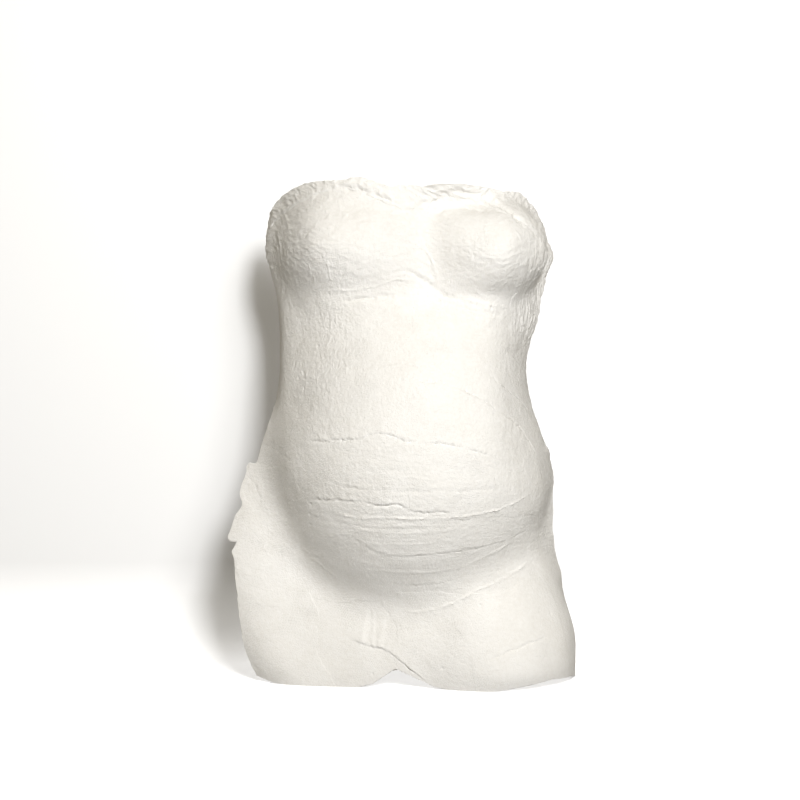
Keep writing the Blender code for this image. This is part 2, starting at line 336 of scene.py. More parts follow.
# Where the right edge juts out to the side: height, half height and how far.
RIGHT_TIPS = [(.446, .013, .0055), (.214, .028, .0055), (.235, .006, .002), (.105, .012, .0025)]
TIPS_START = .86  # the fraction of the way across from which they rise to the edge
BACK_LIMIT = .09  # nothing is pushed back beyond this depth (y)
BACK_FADE = .04   # and the push fades out over this much before it


def swell(x, height):
    """How far forward the shell's swells push it at a place seen from the front."""
    return sum(
        forward * hump(np.hypot((x - middle_x) / wide, (height - middle_z) / high), 0.0, 1.0)
        for middle_x, middle_z, wide, high, forward in SWELLS.values()
    )


class Skin:
    """The shell's outside on the fine grid, with how far each point lies across and up the surface."""

    def __init__(self):
        step_u, step_v = 1.0 / (COLUMNS * FINE), 1.0 / (ROWS * FINE)
        self.u = np.arange(-MARGIN, COLUMNS * FINE + MARGIN + 1) * step_u
        self.v = np.arange(0, ROWS * FINE + MARGIN + 1) * step_v
        self.across, up = np.meshgrid(self.u, self.v)
        height = grid_heights(self.across, up)
        reach = edge_reach()
        levels = np.linspace(0.0, HEIGHT + .028, 90)
        angles = column_angles(self.u, levels, reach)
        columns = [np.interp(height[:, i], levels, angles[:, i]) for i in range(len(self.u))]
        inside = (self.across >= 0.0) & (self.across <= 1.0) & (up <= 1.0)
        self.points = self.in_cad_box(skin_point(np.stack(columns, axis=1), height, reach), inside)
        self.push()
        self.normals = np.cross(np.gradient(self.points, axis=1), np.gradient(self.points, axis=0))
        # Along the bottom the strips thicken sideways, so that they stay on the table.
        self.normals[0, :, 2] = 0.0
        self.normals /= np.linalg.norm(self.normals, axis=-1, keepdims=True)
        self.measure()

    @staticmethod
    def in_cad_box(points, inside):
        """The points in the row frame: same middle from side to side as the CAD box, same front."""
        x, depth = points[..., 0], points[..., 1]
        middle_x = .5 * (x[inside].min() + x[inside].max()) - .5 * (cad_low.x + cad_high.x)
        front = depth[inside].max() + cad_low.y
        return np.stack([x - middle_x, front - depth, points[..., 2]], axis=-1)

    def push(self):
        """Pushes the skin along its swells, and its right edge out to the tips."""
        forward = swell(self.points[..., 0], self.points[..., 2])
        for tip_z, high, out in RIGHT_TIPS:
            near_edge = smooth_step((self.across - TIPS_START) / (1.0 - TIPS_START))
            self.points[..., 0] += out * (near_edge * hump(self.points[..., 2], tip_z, high))
        room = smooth_step((BACK_LIMIT - self.points[..., 1]) / BACK_FADE)
        self.points[..., 1] -= np.where(forward < 0.0, forward * room, forward)

    def measure(self):
        """Unrolls the skin: s runs across it from the middle, and t up it, level with z at the waist."""
        self.s = travelled(self.points, 1)
        self.s -= self.s[:, [len(self.u) // 2]]
        self.t = travelled(self.points, 0)
        waist = len(self.v) // 2
        self.t += self.points[waist, :, 2] - self.t[waist]

    def place(self, x, z):
        """Where on the unrolled skin the point seen from the front at x and height z lies."""
        gap = (self.points[..., 0] - x) ** 2 + (self.points[..., 2] - z) ** 2
        index = np.unravel_index(np.argmin(gap), gap.shape)
        return self.s[index], self.t[index]

    def sample(self, field, u, v):
        """A field of the grid at any places, straight between its lines."""
        i = np.clip((u - self.u[0]) / (self.u[1] - self.u[0]), 0, len(self.u) - 1.001)
        j = np.clip((v - self.v[0]) / (self.v[1] - self.v[0]), 0, len(self.v) - 1.001)
        i0, j0 = i.astype(int), j.astype(int)
        a, b = i - i0, j - j0
        if field.ndim == 3:
            a, b = a[..., None], b[..., None]
        low = field[j0, i0] * (1 - a) + field[j0, i0 + 1] * a
        high = field[j0 + 1, i0] * (1 - a) + field[j0 + 1, i0 + 1] * a
        return low * (1 - b) + high * b


# ---------------- the relief
# Lines in the plaster, in millimetres: a run of points (x, height) seen from the front; groove
# depth (negative for a raised crest) and half width; how much the side to the left of the run
# stands out and how far that takes to fade; and the same for the side to its right. Where the
# last side or both don't stand out, they are left out.
LINES = {
    "belly_crack": ([
        (-109, 252), (-75, 253), (-43, 256), (-30, 260), (-11, 259), (-4, 256), (45, 250), (90, 236),
        (106, 228),
    ], 1.5, .7, .65, 10),
    "dark_fold": ([
        (-102, 192), (-59, 193), (-36, 192), (-24, 189), (-6, 190), (0, 187), (51, 182),
    ], 1.8, 1.0, .9, 8),
    "bright_ridge": ([
        (-85, 187), (-54, 178), (-14, 177), (26, 177), (76, 181), (96, 185), (128, 197), (138, 204),
    ], -1.1, .9),
    "belly_curve": ([
        (1, 315), (56, 306), (76, 295), (97, 281), (119, 264), (130, 247), (141, 227),
    ], 1.9, .8, 0, 1, .8, 10),
    "waist_curve": ([(75, 326), (96, 311), (121, 291), (138, 270)], 1.6, .8, 0, 1, .6, 8),
    "upper_waist_curve": ([(99, 350), (120, 330), (133, 307)], 1.4, .8, 0, 1, .6, 8),
    "belly_wrinkle": ([(-74, 208), (-4, 204), (45, 204), (106, 207)], .51, 1.6, .22, 6),
    "under_belly_1": ([(-75, 172), (-25, 167), (25, 167)], .39, 1.2, .29, 5),
    "under_belly_2": ([(-59, 166), (-4, 162), (36, 164), (76, 170)], -.39, 1.2),
    "under_belly_3": ([(-54, 156), (-36, 145), (-19, 138)], .7, 1.0, .29, 5),
    "under_belly_4": ([(-34, 136), (13, 139), (46, 142), (98, 149), (132, 161)], .65, .8, .65, 7),
    "under_belly_5": ([(-29, 121), (8, 120), (47, 122), (84, 136), (119, 154)], -.58, 1.3),
    "under_belly_6": ([(-40, 150), (10, 151), (60, 154)], -.31, 1.0),
    "under_belly_7": ([(-20, 108), (20, 106), (60, 114)], .43, 1.2, .22, 6),
    "left_arc": ([(-108, 144), (-89, 125), (-69, 111), (-45, 96)], -.4, 1.0),
    "groin_seam": ([
        (-5, 77), (26, 79), (52, 89), (78, 101), (98, 109), (130, 127),
    ], -.9, .9, 0, 1, .3, 14),
    "thigh_seam": ([(84, 32), (117, 44), (149, 53)], 1.1, .7, .14, 6),
    "crotch_edge": ([(-58, 48), (-35, 42), (-20, 38), (3, 22), (24, 5)], .72, 1.0, 1.6, 26),
    "between_edge": ([(9, 453), (22, 446), (29, 434), (33, 420), (35, 410)], -1.4, .8),
    "between_edge_2": ([(17, 461), (23, 450), (28, 425), (31, 413)], .65, .8),
    "middle_line": ([(1, 482), (11, 470), (20, 459)], 1.2, 1.0),
    "right_top_fold": ([
        (27, 494), (37, 503), (58, 508), (79, 505), (97, 494), (115, 481), (125, 468),
    ], 3.2, 3.0, .8, 5),
    "right_second_fold": ([(29, 482), (42, 490), (68, 491), (89, 486)], 2.0, 2.8, .6, 5),
    "left_top_fold": ([(-66, 514), (-40, 508), (-20, 500), (-2, 493)], 2.6, 2.6, .8, 5),
    "left_second_fold": ([(-23, 488), (-9, 484), (7, 486)], 1.4, 1.8, .4, 4),
    "hanging_drip": ([(-78, 441), (-78, 429), (-75, 417), (-71, 414)], -.94, .9),
    "left_chest_line": ([(-119, 474), (-108, 461), (-92, 453), (-76, 447)], -.45, .8),
    "left_chest_crumple": ([(-106, 452), (-92, 443), (-80, 437)], -.5, .9),
    "under_left_1": ([(-87, 407), (-61, 405), (-40, 407), (-19, 413), (-4, 416), (17, 412)], -1.3, .9),
    "under_left_2": ([(-68, 393), (-45, 396), (-24, 399), (-4, 400), (21, 395)], 2.0, 2.2, .5, 6),
    "under_middle": ([(-9, 426), (8, 424), (22, 415), (37, 404), (67, 393)], 2.0, 2.2, .8, 7),
    "under_right_1": ([(36, 405), (58, 398), (78, 391), (110, 388)], -1.6, .8),
    "under_right_2": ([(72, 406), (80, 400), (88, 396)], -1.3, .8),
    "under_right_3": ([(27, 398), (52, 391), (78, 383), (105, 380)], 1.8, 2.0, .5, 5),
    "breast_crinkle_1": ([(75, 440), (87, 438), (99, 434)], -.8, .8),
    "breast_crinkle_2": ([(111, 467), (118, 460), (121, 453)], -1.0, .8),
    "breast_crinkle_3": ([(64, 424), (72, 415)], -1.0, .8),
    "breast_crinkle_4": ([(107, 421), (103, 410)], -1.0, .8),
    "breast_crinkle_5": ([(43, 475), (52, 482)], -1.0, .8),
    "right_side_fold_1": ([(119, 396), (123, 378), (126, 355)], -1.3, 1.5),
    "right_side_fold_2": ([(133, 435), (140, 413), (137, 387)], -1.0, 1.3),
    "right_side_fold_3": ([(132, 392), (132, 370), (134, 345)], 1.2, 1.3),
    "left_top_corner": ([(-143, 498), (-128, 490), (-121, 476), (-117, 459)], -.6, 1.1, 0, 1, .3, 6),
    "left_scratch_1": ([(-82, 344), (-74, 360)], -.65, .8),
    "left_scratch_2": ([(-83, 289), (-77, 301)], -.65, .8),
    "left_scratch_3": ([(-66, 332), (-50, 338)], -.51, .8),
    "flap_line": ([(-176, 217), (-160, 205), (-150, 185)], .51, 1.0, .36, 6),
}

# Rough places, where dry plaster was rubbed over: x and height of the middle, and radius.
ROUGH_PATCHES = [
    (-.085, .325, .034), (-.077, .372, .024), (.078, .452, .024), (.139, .36, .026),
    (.048, .052, .036), (-.098, .458, .018), (.15, .142, .02), (.148, .42, .02),
    (.017, .506, .02), (.085, .385, .018), (.12, .085, .028),
]

# Pinholes left by air: (x, height).
PINHOLES = [
    (.043, .383), (.066, .374), (.09, .387), (.093, .491), (.094, .447), (.13, .428), (-.095, .188),
    (-.096, .177), (-.096, .166), (.072, .143), (.096, .119), (.077, .085), (-.016, .075), (.039, .022),
    (.151, .073), (-.089, .348), (-.104, .321), (-.032, .014), (-.11, .315), (-.003, .315),
]


def line_in_relief(skin, relief, knots, profile, seed):
    """Adds one line to the relief."""
    profile = (*profile, 0, 1, 0, 1)[:6]
    depth, width, above, above_reach, below, below_reach = (.001 * value for value in profile)
    places = np.array([skin.place(.001 * x, .001 * z) for x, z in knots])
    lengths = travelled(places, 0)
    count = max(int(lengths[-1] / .0025), 2)
    at = np.linspace(0.0, lengths[-1], count + 1)
    path = np.stack([smooth_curve(np.stack([lengths, places[:, k]], axis=1), at) for k in (0, 1)], axis=1)
    reach = 3.0 * max(width, above_reach if above else 0.0, below_reach if below else 0.0)
    near = (
        (skin.s > path[:, 0].min() - reach) & (skin.s < path[:, 0].max() + reach)
        & (skin.t > path[:, 1].min() - reach) & (skin.t < path[:, 1].max() + reach)
    )
    s, t = skin.s[near], skin.t[near]

    def wander(number, size):
        return noise(seed + number, s / size, t / size)

    wander_s = .0009 * wander(0, .011) + .0006 * wander(1, .0035)
    wander_t = .0011 * wander(2, .013) + .0008 * wander(3, .0035)
    line_s, line_t = s + wander_s, t + wander_t
    best = np.full(s.shape, 1e9)
    signed = np.zeros(s.shape)
    along = np.zeros(s.shape)
    for (s0, t0), (s1, t1), start in zip(path[:-1], path[1:], at[:-1]):
        ds, dt = s1 - s0, t1 - t0
        length = math.hypot(ds, dt)
        from_s, from_t = line_s - s0, line_t - t0
        share = np.clip((from_s * ds + from_t * dt) / length**2, 0.0, 1.0)
        away = np.hypot(from_s - share * ds, from_t - share * dt)
        side = np.sign(ds * from_t - dt * from_s)
        closer = away < best
        best = np.where(closer, away, best)
        signed = np.where(closer, side * away, signed)
        along = np.where(closer, start + share * length, along)
    taper = smooth_step(np.minimum(along, lengths[-1] - along) / (.12 * lengths[-1] + .004))
    past_end = np.exp(-((best - np.abs(signed)) / .003) ** 2)
    uneven = .85 + .6 * noise(seed + 4, along / .017, .5)
    uneven += .7 * noise(seed + 5, along / .0045, .5)
    strength = taper * past_end * np.clip(uneven, .1, 1.6)
    value = -depth * np.exp(-(best / width) ** 2)
    if above:
        value += above * np.exp(-best / above_reach) * (signed > 0)
    if below:
        value += below * np.exp(-best / below_reach) * (signed <= 0)
    relief[near] += value * strength


def broad_relief(skin):
    """Slow unevenness of the whole shell, which both faces follow."""
    s, t = skin.s, skin.t
    relief = .0007 * noise(11, s / .08, t / .062) + .0004 * noise(12, s / .036, t / .026)
    return relief * smooth_step(skin.points[..., 2] / .03 + .2)


def surface_relief(skin):
    """Everything finer on the outside: wrinkles, crumples, grain, lines and pinholes.

    Each term is a height times a field, whose lumps or ridges have the size given for s and t.
    """
    s, t = skin.s, skin.t
    x, z = skin.points[..., 0], skin.points[..., 2]
    patches = smooth_step(.5 + .9 * noise(21, s / .05, t / .04))
    relief = .00016 * noise(22, s / .013, t / .01) * (.5 + patches)
    relief += .00009 * noise(23, s / .006, t / .0048) * (.5 + patches)
    relief += .00012 * noise(24, s / .0028, t / .0025)
    puckered = smooth_step(2.2 * noise(37, s / .014, t / .012))
    relief += .00034 * ridges(36, s / .0055, t / .004) * puckered
    bend = .14 * noise(26, s / .06, t / .045)
    under_belly = hump(z, .15, .055) * hump(x, .01, .11)
    belly = hump(z, .215, .06) * hump(x, 0.0, .12)
    relief += .0002 * ridges(25, s / .06, t / .008 + bend) * under_belly
    relief += .00016 * ridges(28, s / .032, t / .0046 + bend) * (under_belly + .6 * belly)
    relief += .00018 * ridges(27, s / .04, t / .006 + bend) * (.3 + patches * belly)
    relief += .0002 * ridges(34, s / .016 + bend, t / .004) * patches
    # Under the arm the gauze hangs in upright crumples.
    right_side = smooth_step((x - .105) / .03) * hump(z, .4, .075)
    left_side = smooth_step((-.112 - x) / .02) * hump(z, .43, .07)
    relief += .0013 * ridges(29, s / .0085, t / .032 + bend) * (right_side + .25 * left_side)
    rough = np.zeros_like(x)
    for middle_x, middle_z, radius in ROUGH_PATCHES:
        rough = np.maximum(rough, hump(x, middle_x, radius) * hump(z, middle_z, radius))
    relief += .00058 * ridges(30, s / .0065 + bend, t / .004 - bend) * rough
    relief += .0004 * ridges(31, s / .0034, t / .005) * rough
    chest = smooth_step((z - .4) / .02)
    relief *= .45 + .55 * smooth_step((z - .07) / .1)
    relief += .00055 * ridges(32, s / .018 + bend, t / .0075 + bend) * chest
    rim = smooth_step(1.0 - np.minimum(skin.across, 1.0 - skin.across) / .035)
    relief += .00018 * rim * noise(33, s / .005, t / .0075)
    for number, (knots, *profile) in enumerate(LINES.values()):
        line_in_relief(skin, relief, knots, profile, 100 + 10 * number)
    for middle_x, middle_z in PINHOLES:
        away = (x - middle_x) ** 2 + (z - middle_z) ** 2
        relief -= .0013 * np.exp(-away / .0009**2)
    return relief


def inside_relief(skin):
    """The inside face: gauze pressed against the body, smoother, with long soft creases."""
    s, t = skin.s, skin.t
    relief = .0003 * noise(41, s / .016, t / .012) + .00018 * noise(42, s / .006, t / .005)
    relief += .0001 * noise(44, s / .0032, t / .003)
    relief += .0008 * ridges(45, s / .045, t / .028) + .0005 * ridges(46, s / .02, t / .034)
    return relief + .0006 * ridges(43, s / .06, t / .011)


# ---------------- strips
def wobble(seed, at, size):
    """How far a strip's torn edge strays, along the edge."""
    still = np.full_like(at, .37)
    return size * (.6 * noise(seed, at / .024, still) + .4 * noise(seed + 1, at / .0065, still))


# Tips and notches of the cut edges: place along the edge (height, or x along the top), how far
# out they reach, and half width.
RIM = {
    "left": [(.5, .0035, .007), (.452, .002, .016), (.416, -.0045, .009), (.389, .0015, .006),
             (.3, -.001, .012), (.217, .0035, .005), (.176, -.002, .01), (.156, .003, .0045),
             (.147, -.002, .004), (.133, .0035, .005), (.075, -.0075, .09), (.215, -.0035, .06),
             (.181, -.006, .006)],
    "right": [(.478, .006, .012), (.446, .004, .007), (.426, -.002, .008), (.405, -.0025, .01),
              (.345, .0015, .006), (.3, -.0005, .014), (.24, .003, .008), (.205, .003, .01),
              (.171, .003, .009), (.15, -.0015, .006), (.062, .003, .008), (.047, -.0015, .004),
              (.03, .0015, .006)],
    "top": [(-.135, -.002, .01), (-.044, .003, .01), (-.017, -.0035, .006), (-.004, .001, .004),
            (.02, -.002, .004), (.058, .0015, .01), (.101, -.0015, .003), (.118, .0015, .003),
            (.13, -.0015, .004)],
}


def rim_reach(side, place):
    """How far the cut edge stands out at a place along it."""
    return sum(out * hump(place, middle, half_width) for middle, out, half_width in RIM[side])


def strip_places(skin, block, rank, seed, overlap, rag, fine):
    """Places (u, v) of a strip's own grid, whose edges wander, and how far each is from the edges.

    The strip laps over its neighbours by overlap, and rag is how far the shell's cut edges stray.
    """
    first_column, last_column, first_row, last_row = block
    columns = (last_column - first_column) * fine + 1
    rows = (last_row - first_row) * fine + 1
    a, b = np.meshgrid(np.linspace(0.0, 1.0, columns), np.linspace(0.0, 1.0, rows))
    u0, u1 = first_column / COLUMNS, last_column / COLUMNS
    v0, v1 = first_row / ROWS, last_row / ROWS
    flat_u, flat_v = u0 + a * (u1 - u0), v0 + b * (v1 - v0)
    across, up = a * (u1 - u0) * ACROSS_LENGTH, b * (v1 - v0) * UP_LENGTH
    # An edge of the whole shell counts as a metre away: the strip keeps its thickness there.
    from_left = across + (1.0 if first_column == 0 else 0.0)
    from_right = across[:, ::-1] + (1.0 if last_column == COLUMNS else 0.0)
    from_bottom = up + (1.0 if first_row == 0 else 0.0)
    from_top = up[::-1] + (1.0 if last_row == ROWS else 0.0)
    round_corner = .0035 if rank >= 2 else 0.0

    def strays(number, along, to_corner):
        """Offset of a hidden or overlapping edge, which rounds off at the strip's corners."""
        return overlap + wobble(seed + number, along, .0042) - round_corner * np.exp(-to_corner / .005)

    height = grid_heights(flat_u, flat_v)
    side_corner, flat_corner = np.minimum(from_bottom, from_top), np.minimum(from_left, from_right)
    left = -strays(0, up, side_corner)
    right = strays(10, up, side_corner)
    bottom = -strays(20, across, flat_corner)
    top = strays(30, across, flat_corner)
    if first_column == 0:
        left = -wobble(seed, up, rag) - rim_reach("left", height)
    if last_column == COLUMNS:
        right = wobble(seed, up, rag) + rim_reach("right", height)
    if first_row == 0:
        bottom = 0.0 * across
    if last_row == ROWS:
        x = skin.sample(skin.points, flat_u, flat_v)[..., 0]
        top = wobble(seed, across, rag) + rim_reach("top", x)
    u = flat_u + ((1 - a) ** 3 * left + a**3 * right) / ACROSS_LENGTH
    v = flat_v + ((1 - b) ** 3 * bottom + b**3 * top) / UP_LENGTH
    # All strips follow one slow warp, so that their edges run in curves.
    fade_u = smooth_step(np.minimum(u, 1.0 - u) / .12)
    fade_v = smooth_step(np.minimum(v, 1.0 - v) / .1)
    warp_u = noise(901, u * ACROSS_LENGTH / .065, v * UP_LENGTH / .055)
    warp_v = noise(902, u * ACROSS_LENGTH / .065, v * UP_LENGTH / .065)
    u = u + .011 * warp_u * fade_u / ACROSS_LENGTH
    v = v + .01 * warp_v * fade_v / UP_LENGTH
    edge = np.minimum.reduce([from_left, from_right, from_bottom, from_top])
    return u, v, edge


def feather(skin, u, v, edge):
    """How far a strip has risen to its full thickness: rubbed thin in some places, sharp in others."""
    s, t = skin.sample(skin.s, u, v), skin.sample(skin.t, u, v)
    soft = smooth_step(.5 + 1.1 * noise(35, s / .03, t / .03))
    return smooth_step(edge / (.0012 + .009 * soft))


def add_object(name, data):
    """A new object in the scene."""
    made = bpy.data.objects.new(name, data)
    bpy.context.scene.collection.objects.link(made)
    return made


def border_loop(rows, columns, offset):
    """Numbers of a grid's outer points, going round once."""
    index = offset + np.arange(rows * columns).reshape(rows, columns)
    return np.concatenate([index[0, :-1], index[:-1, -1], index[-1, :0:-1], index[:0:-1, 0]])


def quads(rows, columns, offset, flip):
    """The four-sided faces of a grid, turned the other way round where flip is set."""
    index = offset + np.arange(rows * columns).reshape(rows, columns)
    corners = [index[:-1, :-1], index[:-1, 1:], index[1:, 1:], index[1:, :-1]]
    faces = np.stack(corners, axis=-1).reshape(-1, 4)
    return faces[:, ::-1] if flip else faces


def closed_sheet(name, shown, hidden, cloth, outward):
    """A closed sheet between a fine face that shows and a coarse hidden one, with a rounded edge."""
    rows, columns = shown.shape[:2]
    low_rows, low_columns = hidden.shape[:2]
    flat, low_flat = shown.reshape(-1, 3), hidden.reshape(-1, 3)
    outer = border_loop(rows, columns, 0)
    inner = border_loop(low_rows, low_columns, rows * columns)
    corners = low_flat[inner - rows * columns]
    blend = np.tile(np.arange(COARSE) / COARSE, len(inner))[:, None]
    ends = np.repeat(corners, COARSE, axis=0) * (1 - blend)
    ends = ends + np.repeat(np.roll(corners, -1, axis=0), COARSE, axis=0) * blend
    away = np.roll(flat[outer], -2, axis=0) - np.roll(flat[outer], 2, axis=0)
    bulge = np.cross(away, flat[outer] - ends) * (1.0 if outward else -1.0)
    bulge /= np.maximum(np.linalg.norm(bulge, axis=-1, keepdims=True), 1e-9)
    middle = .5 * (flat[outer] + ends) + EDGE_BULGE * bulge
    ring = rows * columns + low_rows * low_columns + np.arange(len(outer))
    points = np.concatenate([flat, low_flat, middle])
    points[:, 2] = np.maximum(points[:, 2], 0.0)
    walls = np.stack([outer, ring, np.roll(ring, -1), np.roll(outer, -1)], axis=-1)
    next_inner = np.roll(inner, -1)
    half = COARSE // 2
    fans = []
    for k in range(len(inner)):
        for m in range(COARSE):
            corner = inner[k] if m < half else next_inner[k]
            fans.append((ring[k * COARSE + m], corner, ring[(k * COARSE + m + 1) % len(ring)]))
        fans.append((ring[k * COARSE + half], inner[k], next_inner[k]))
    fans = np.array(fans)
    if not outward:
        walls, fans = walls[:, ::-1], fans[:, ::-1]
    fine_faces = quads(rows, columns, 0, not outward)
    coarse_faces = quads(low_rows, low_columns, rows * columns, outward)
    four = np.concatenate([fine_faces, coarse_faces, walls])
    mesh = bpy.data.meshes.new(name)
    mesh.from_pydata(points.tolist(), [], four.tolist() + fans.tolist())
    mesh.update()
    low_cloth = cloth[::COARSE, ::COARSE].reshape(-1, 2)
    places = np.concatenate([cloth.reshape(-1, 2), low_cloth, cloth.reshape(-1, 2)[outer]])
    numbers = np.zeros(len(mesh.loops), np.int32)
    mesh.loops.foreach_get("vertex_index", numbers)
    layer = mesh.uv_layers.new(name="cloth")
    layer.data.foreach_set("uv", places[numbers].astype(np.float32).ravel())
    mesh.shade_smooth()
    mesh.set_sharp_from_angle(angle=math.radians(55.0))
    return add_object(name, mesh)


def cloth_places(skin, u, v, seed):
    """Where each point lies on the strip's own cloth, which was laid at a slight angle."""
    turn = math.radians(7.0) * math.sin(seed * 12.9898)
    s, t = skin.sample(skin.s, u, v), skin.sample(skin.t, u, v)
    along = s * math.cos(turn) - t * math.sin(turn)
    return np.stack([along, s * math.sin(turn) + t * math.cos(turn)], axis=-1)


def make_strip(skin, node, u, v, seed, shown_at, hidden_at, slot, material):
    """Makes the strip that stands for a CAD node, from how far out its two faces lie."""
    base, normal = skin.sample(skin.points, u, v), skin.sample(skin.normals, u, v)
    shown = base + normal * shown_at[..., None]
    hidden = (base + normal * hidden_at[..., None])[::COARSE, ::COARSE]
    cloth = cloth_places(skin, u, v, seed)
    piece = closed_sheet(node + "_plaster", shown, hidden, cloth, slot != "plaster_inner")
    piece.data.materials.append(material)
    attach(piece, "root")
    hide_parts(node)


def lay_outer(skin, broad, fine_relief, material):
    """The strips that make the outside."""
    for number, (name, *block, rank) in enumerate(OUTER_STRIPS):
        seed = 1000 + 50 * number
        u, v, edge = strip_places(skin, block, rank, seed, overlap=.005, rag=.0012, fine=FINE)
        if name == "left_hip_flap":
            u = u - FLAP_REACH / COLUMNS * (1.0 - np.linspace(0.0, 1.0, u.shape[1])) ** 3
        slow = skin.sample(broad, u, v)
        lift = LIFT * rank * feather(skin, u, v, edge) + .00002 * rank
        dive = .0006 * (1.0 - smooth_step(edge / .001))
        shown = slow + skin.sample(fine_relief, u, v) + lift - dive
        hidden = slow - STRIP_THICKNESS
        make_strip(skin, name, u, v, seed, shown, hidden, "plaster_outer", material)


def lay_inner(skin, broad, inner_relief, material):
    """The strips that make the inside."""
    for number, (name, *block, rank) in enumerate(INNER_STRIPS):
        seed = 4000 + 50 * number
        u, v, edge = strip_places(skin, block, rank, seed, overlap=.006, rag=.0018, fine=FINE // 2)
        slow = skin.sample(broad, u, v)
        lift = 3.5 * LIFT * rank * feather(skin, u, v, edge) + .00003 * rank
        dive = .0009 * (1.0 - smooth_step(edge / .002))
        under = 2.0 * STRIP_THICKNESS + skin.sample(inner_relief, u, v) + lift - dive
        hidden = slow - STRIP_THICKNESS - .0002
        make_strip(skin, name, u, v, seed, slow - under, hidden, "plaster_inner", material)


# Lower edge of the gauze that is folded over along the chest edge: (x, height).
FOLD_EDGE = [
    (-.16, .484), (-.11, .5), (-.066, .513), (-.04, .507), (-.02, .499), (-.002, .492), (.027, .493),
    (.037, .502), (.058, .507), (.079, .504), (.097, .493), (.115, .48), (.125, .467), (.16, .45),
]


def lay_folded(skin, broad, fine_relief, material):
    """The gauze folded over on to the front along the chest edge."""
    for number, (name, *block, rank) in enumerate(FOLDED_STRIPS):
        seed = 7000 + 50 * number
        u, v, edge = strip_places(skin, block, rank, seed, overlap=.003, rag=.0014, fine=FINE)
        x = skin.sample(skin.points, u, v)[..., 0]
        lowest = np.interp(x, *np.array(FOLD_EDGE).T) / HEIGHT
        lowest = lowest + .0022 * noise(64, x / .006, .5)
        share = (v - v[0]) / (v[-1] - v[0])
        v = lowest + share * (v[-1] - lowest)
        edge = np.minimum(edge, share * (v[-1] - lowest) * UP_LENGTH)
        slow = skin.sample(broad, u, v)
        s, t = skin.sample(skin.s, u, v), skin.sample(skin.t, u, v)
        crumple = .0008 * ridges(61, s / .014 + .4 * noise(63, s / .02, t / .02), t / .0065)
        crumple += .0004 * noise(62, s / .007, t / .005)
        crumple = crumple * smooth_step(edge / .004)
        lift = (.0011 + LIFT * rank) * smooth_step(edge / .003)
        dive = .001 * (1.0 - smooth_step(edge / .001))
        shown = slow + skin.sample(fine_relief, u, v) + crumple + lift - dive
        make_strip(skin, name, u, v, seed, shown, slow - .0006, "plaster_fold", material)


# ---------------- materials
def link(tree, output, entry):
    tree.links.new(output, entry)


def new_material(name):
    """A material, its node tree and its shader."""
    material = bpy.data.materials.new(name)
    material.use_nodes = True
    return material, material.node_tree, material.node_tree.nodes["Principled BSDF"]


def add_node(tree, kind, entry, source, **values):
    """A shader node with one input linked and others set."""
    node = tree.nodes.new("ShaderNode" + kind)
    link(tree, source, node.inputs[entry])
    for key, value in values.items():
        node.inputs[key.replace("_", " ").title()].default_value = value
    return node


def ramp(tree, value, stops):
    """A colour ramp over a value: (place, colour) for each stop."""
    node = tree.nodes.new("ShaderNodeValToRGB")
    link(tree, value, node.inputs["Fac"])
    while len(node.color_ramp.elements) < len(stops):
        node.color_ramp.elements.new(1.0)
    for element, (place, colour) in zip(node.color_ramp.elements, stops):
        element.position = place
        element.color = (*colour, 1.0)
    return node.outputs["Color"]


def maths(tree, operation, first, second):
    """A math node's result; each operand is a number or another node's output."""
    node = tree.nodes.new("ShaderNodeMath")
    node.operation = operation
    for entry, value in zip(node.inputs, (first, second)):
        if isinstance(value, (int, float)):
            entry.default_value = value
        else:
            link(tree, value, entry)
    return node.outputs[0]


def mix_shaders(tree, factor, first, second, output):
    """Sends a mix of two shaders to the tree's output node."""
    mix = add_node(tree, "MixShader", "Fac", factor)
    link(tree, first, mix.inputs[1])
    link(tree, second, mix.inputs[2])
    link(tree, mix.outputs["Shader"], tree.nodes[output].inputs["Surface"])


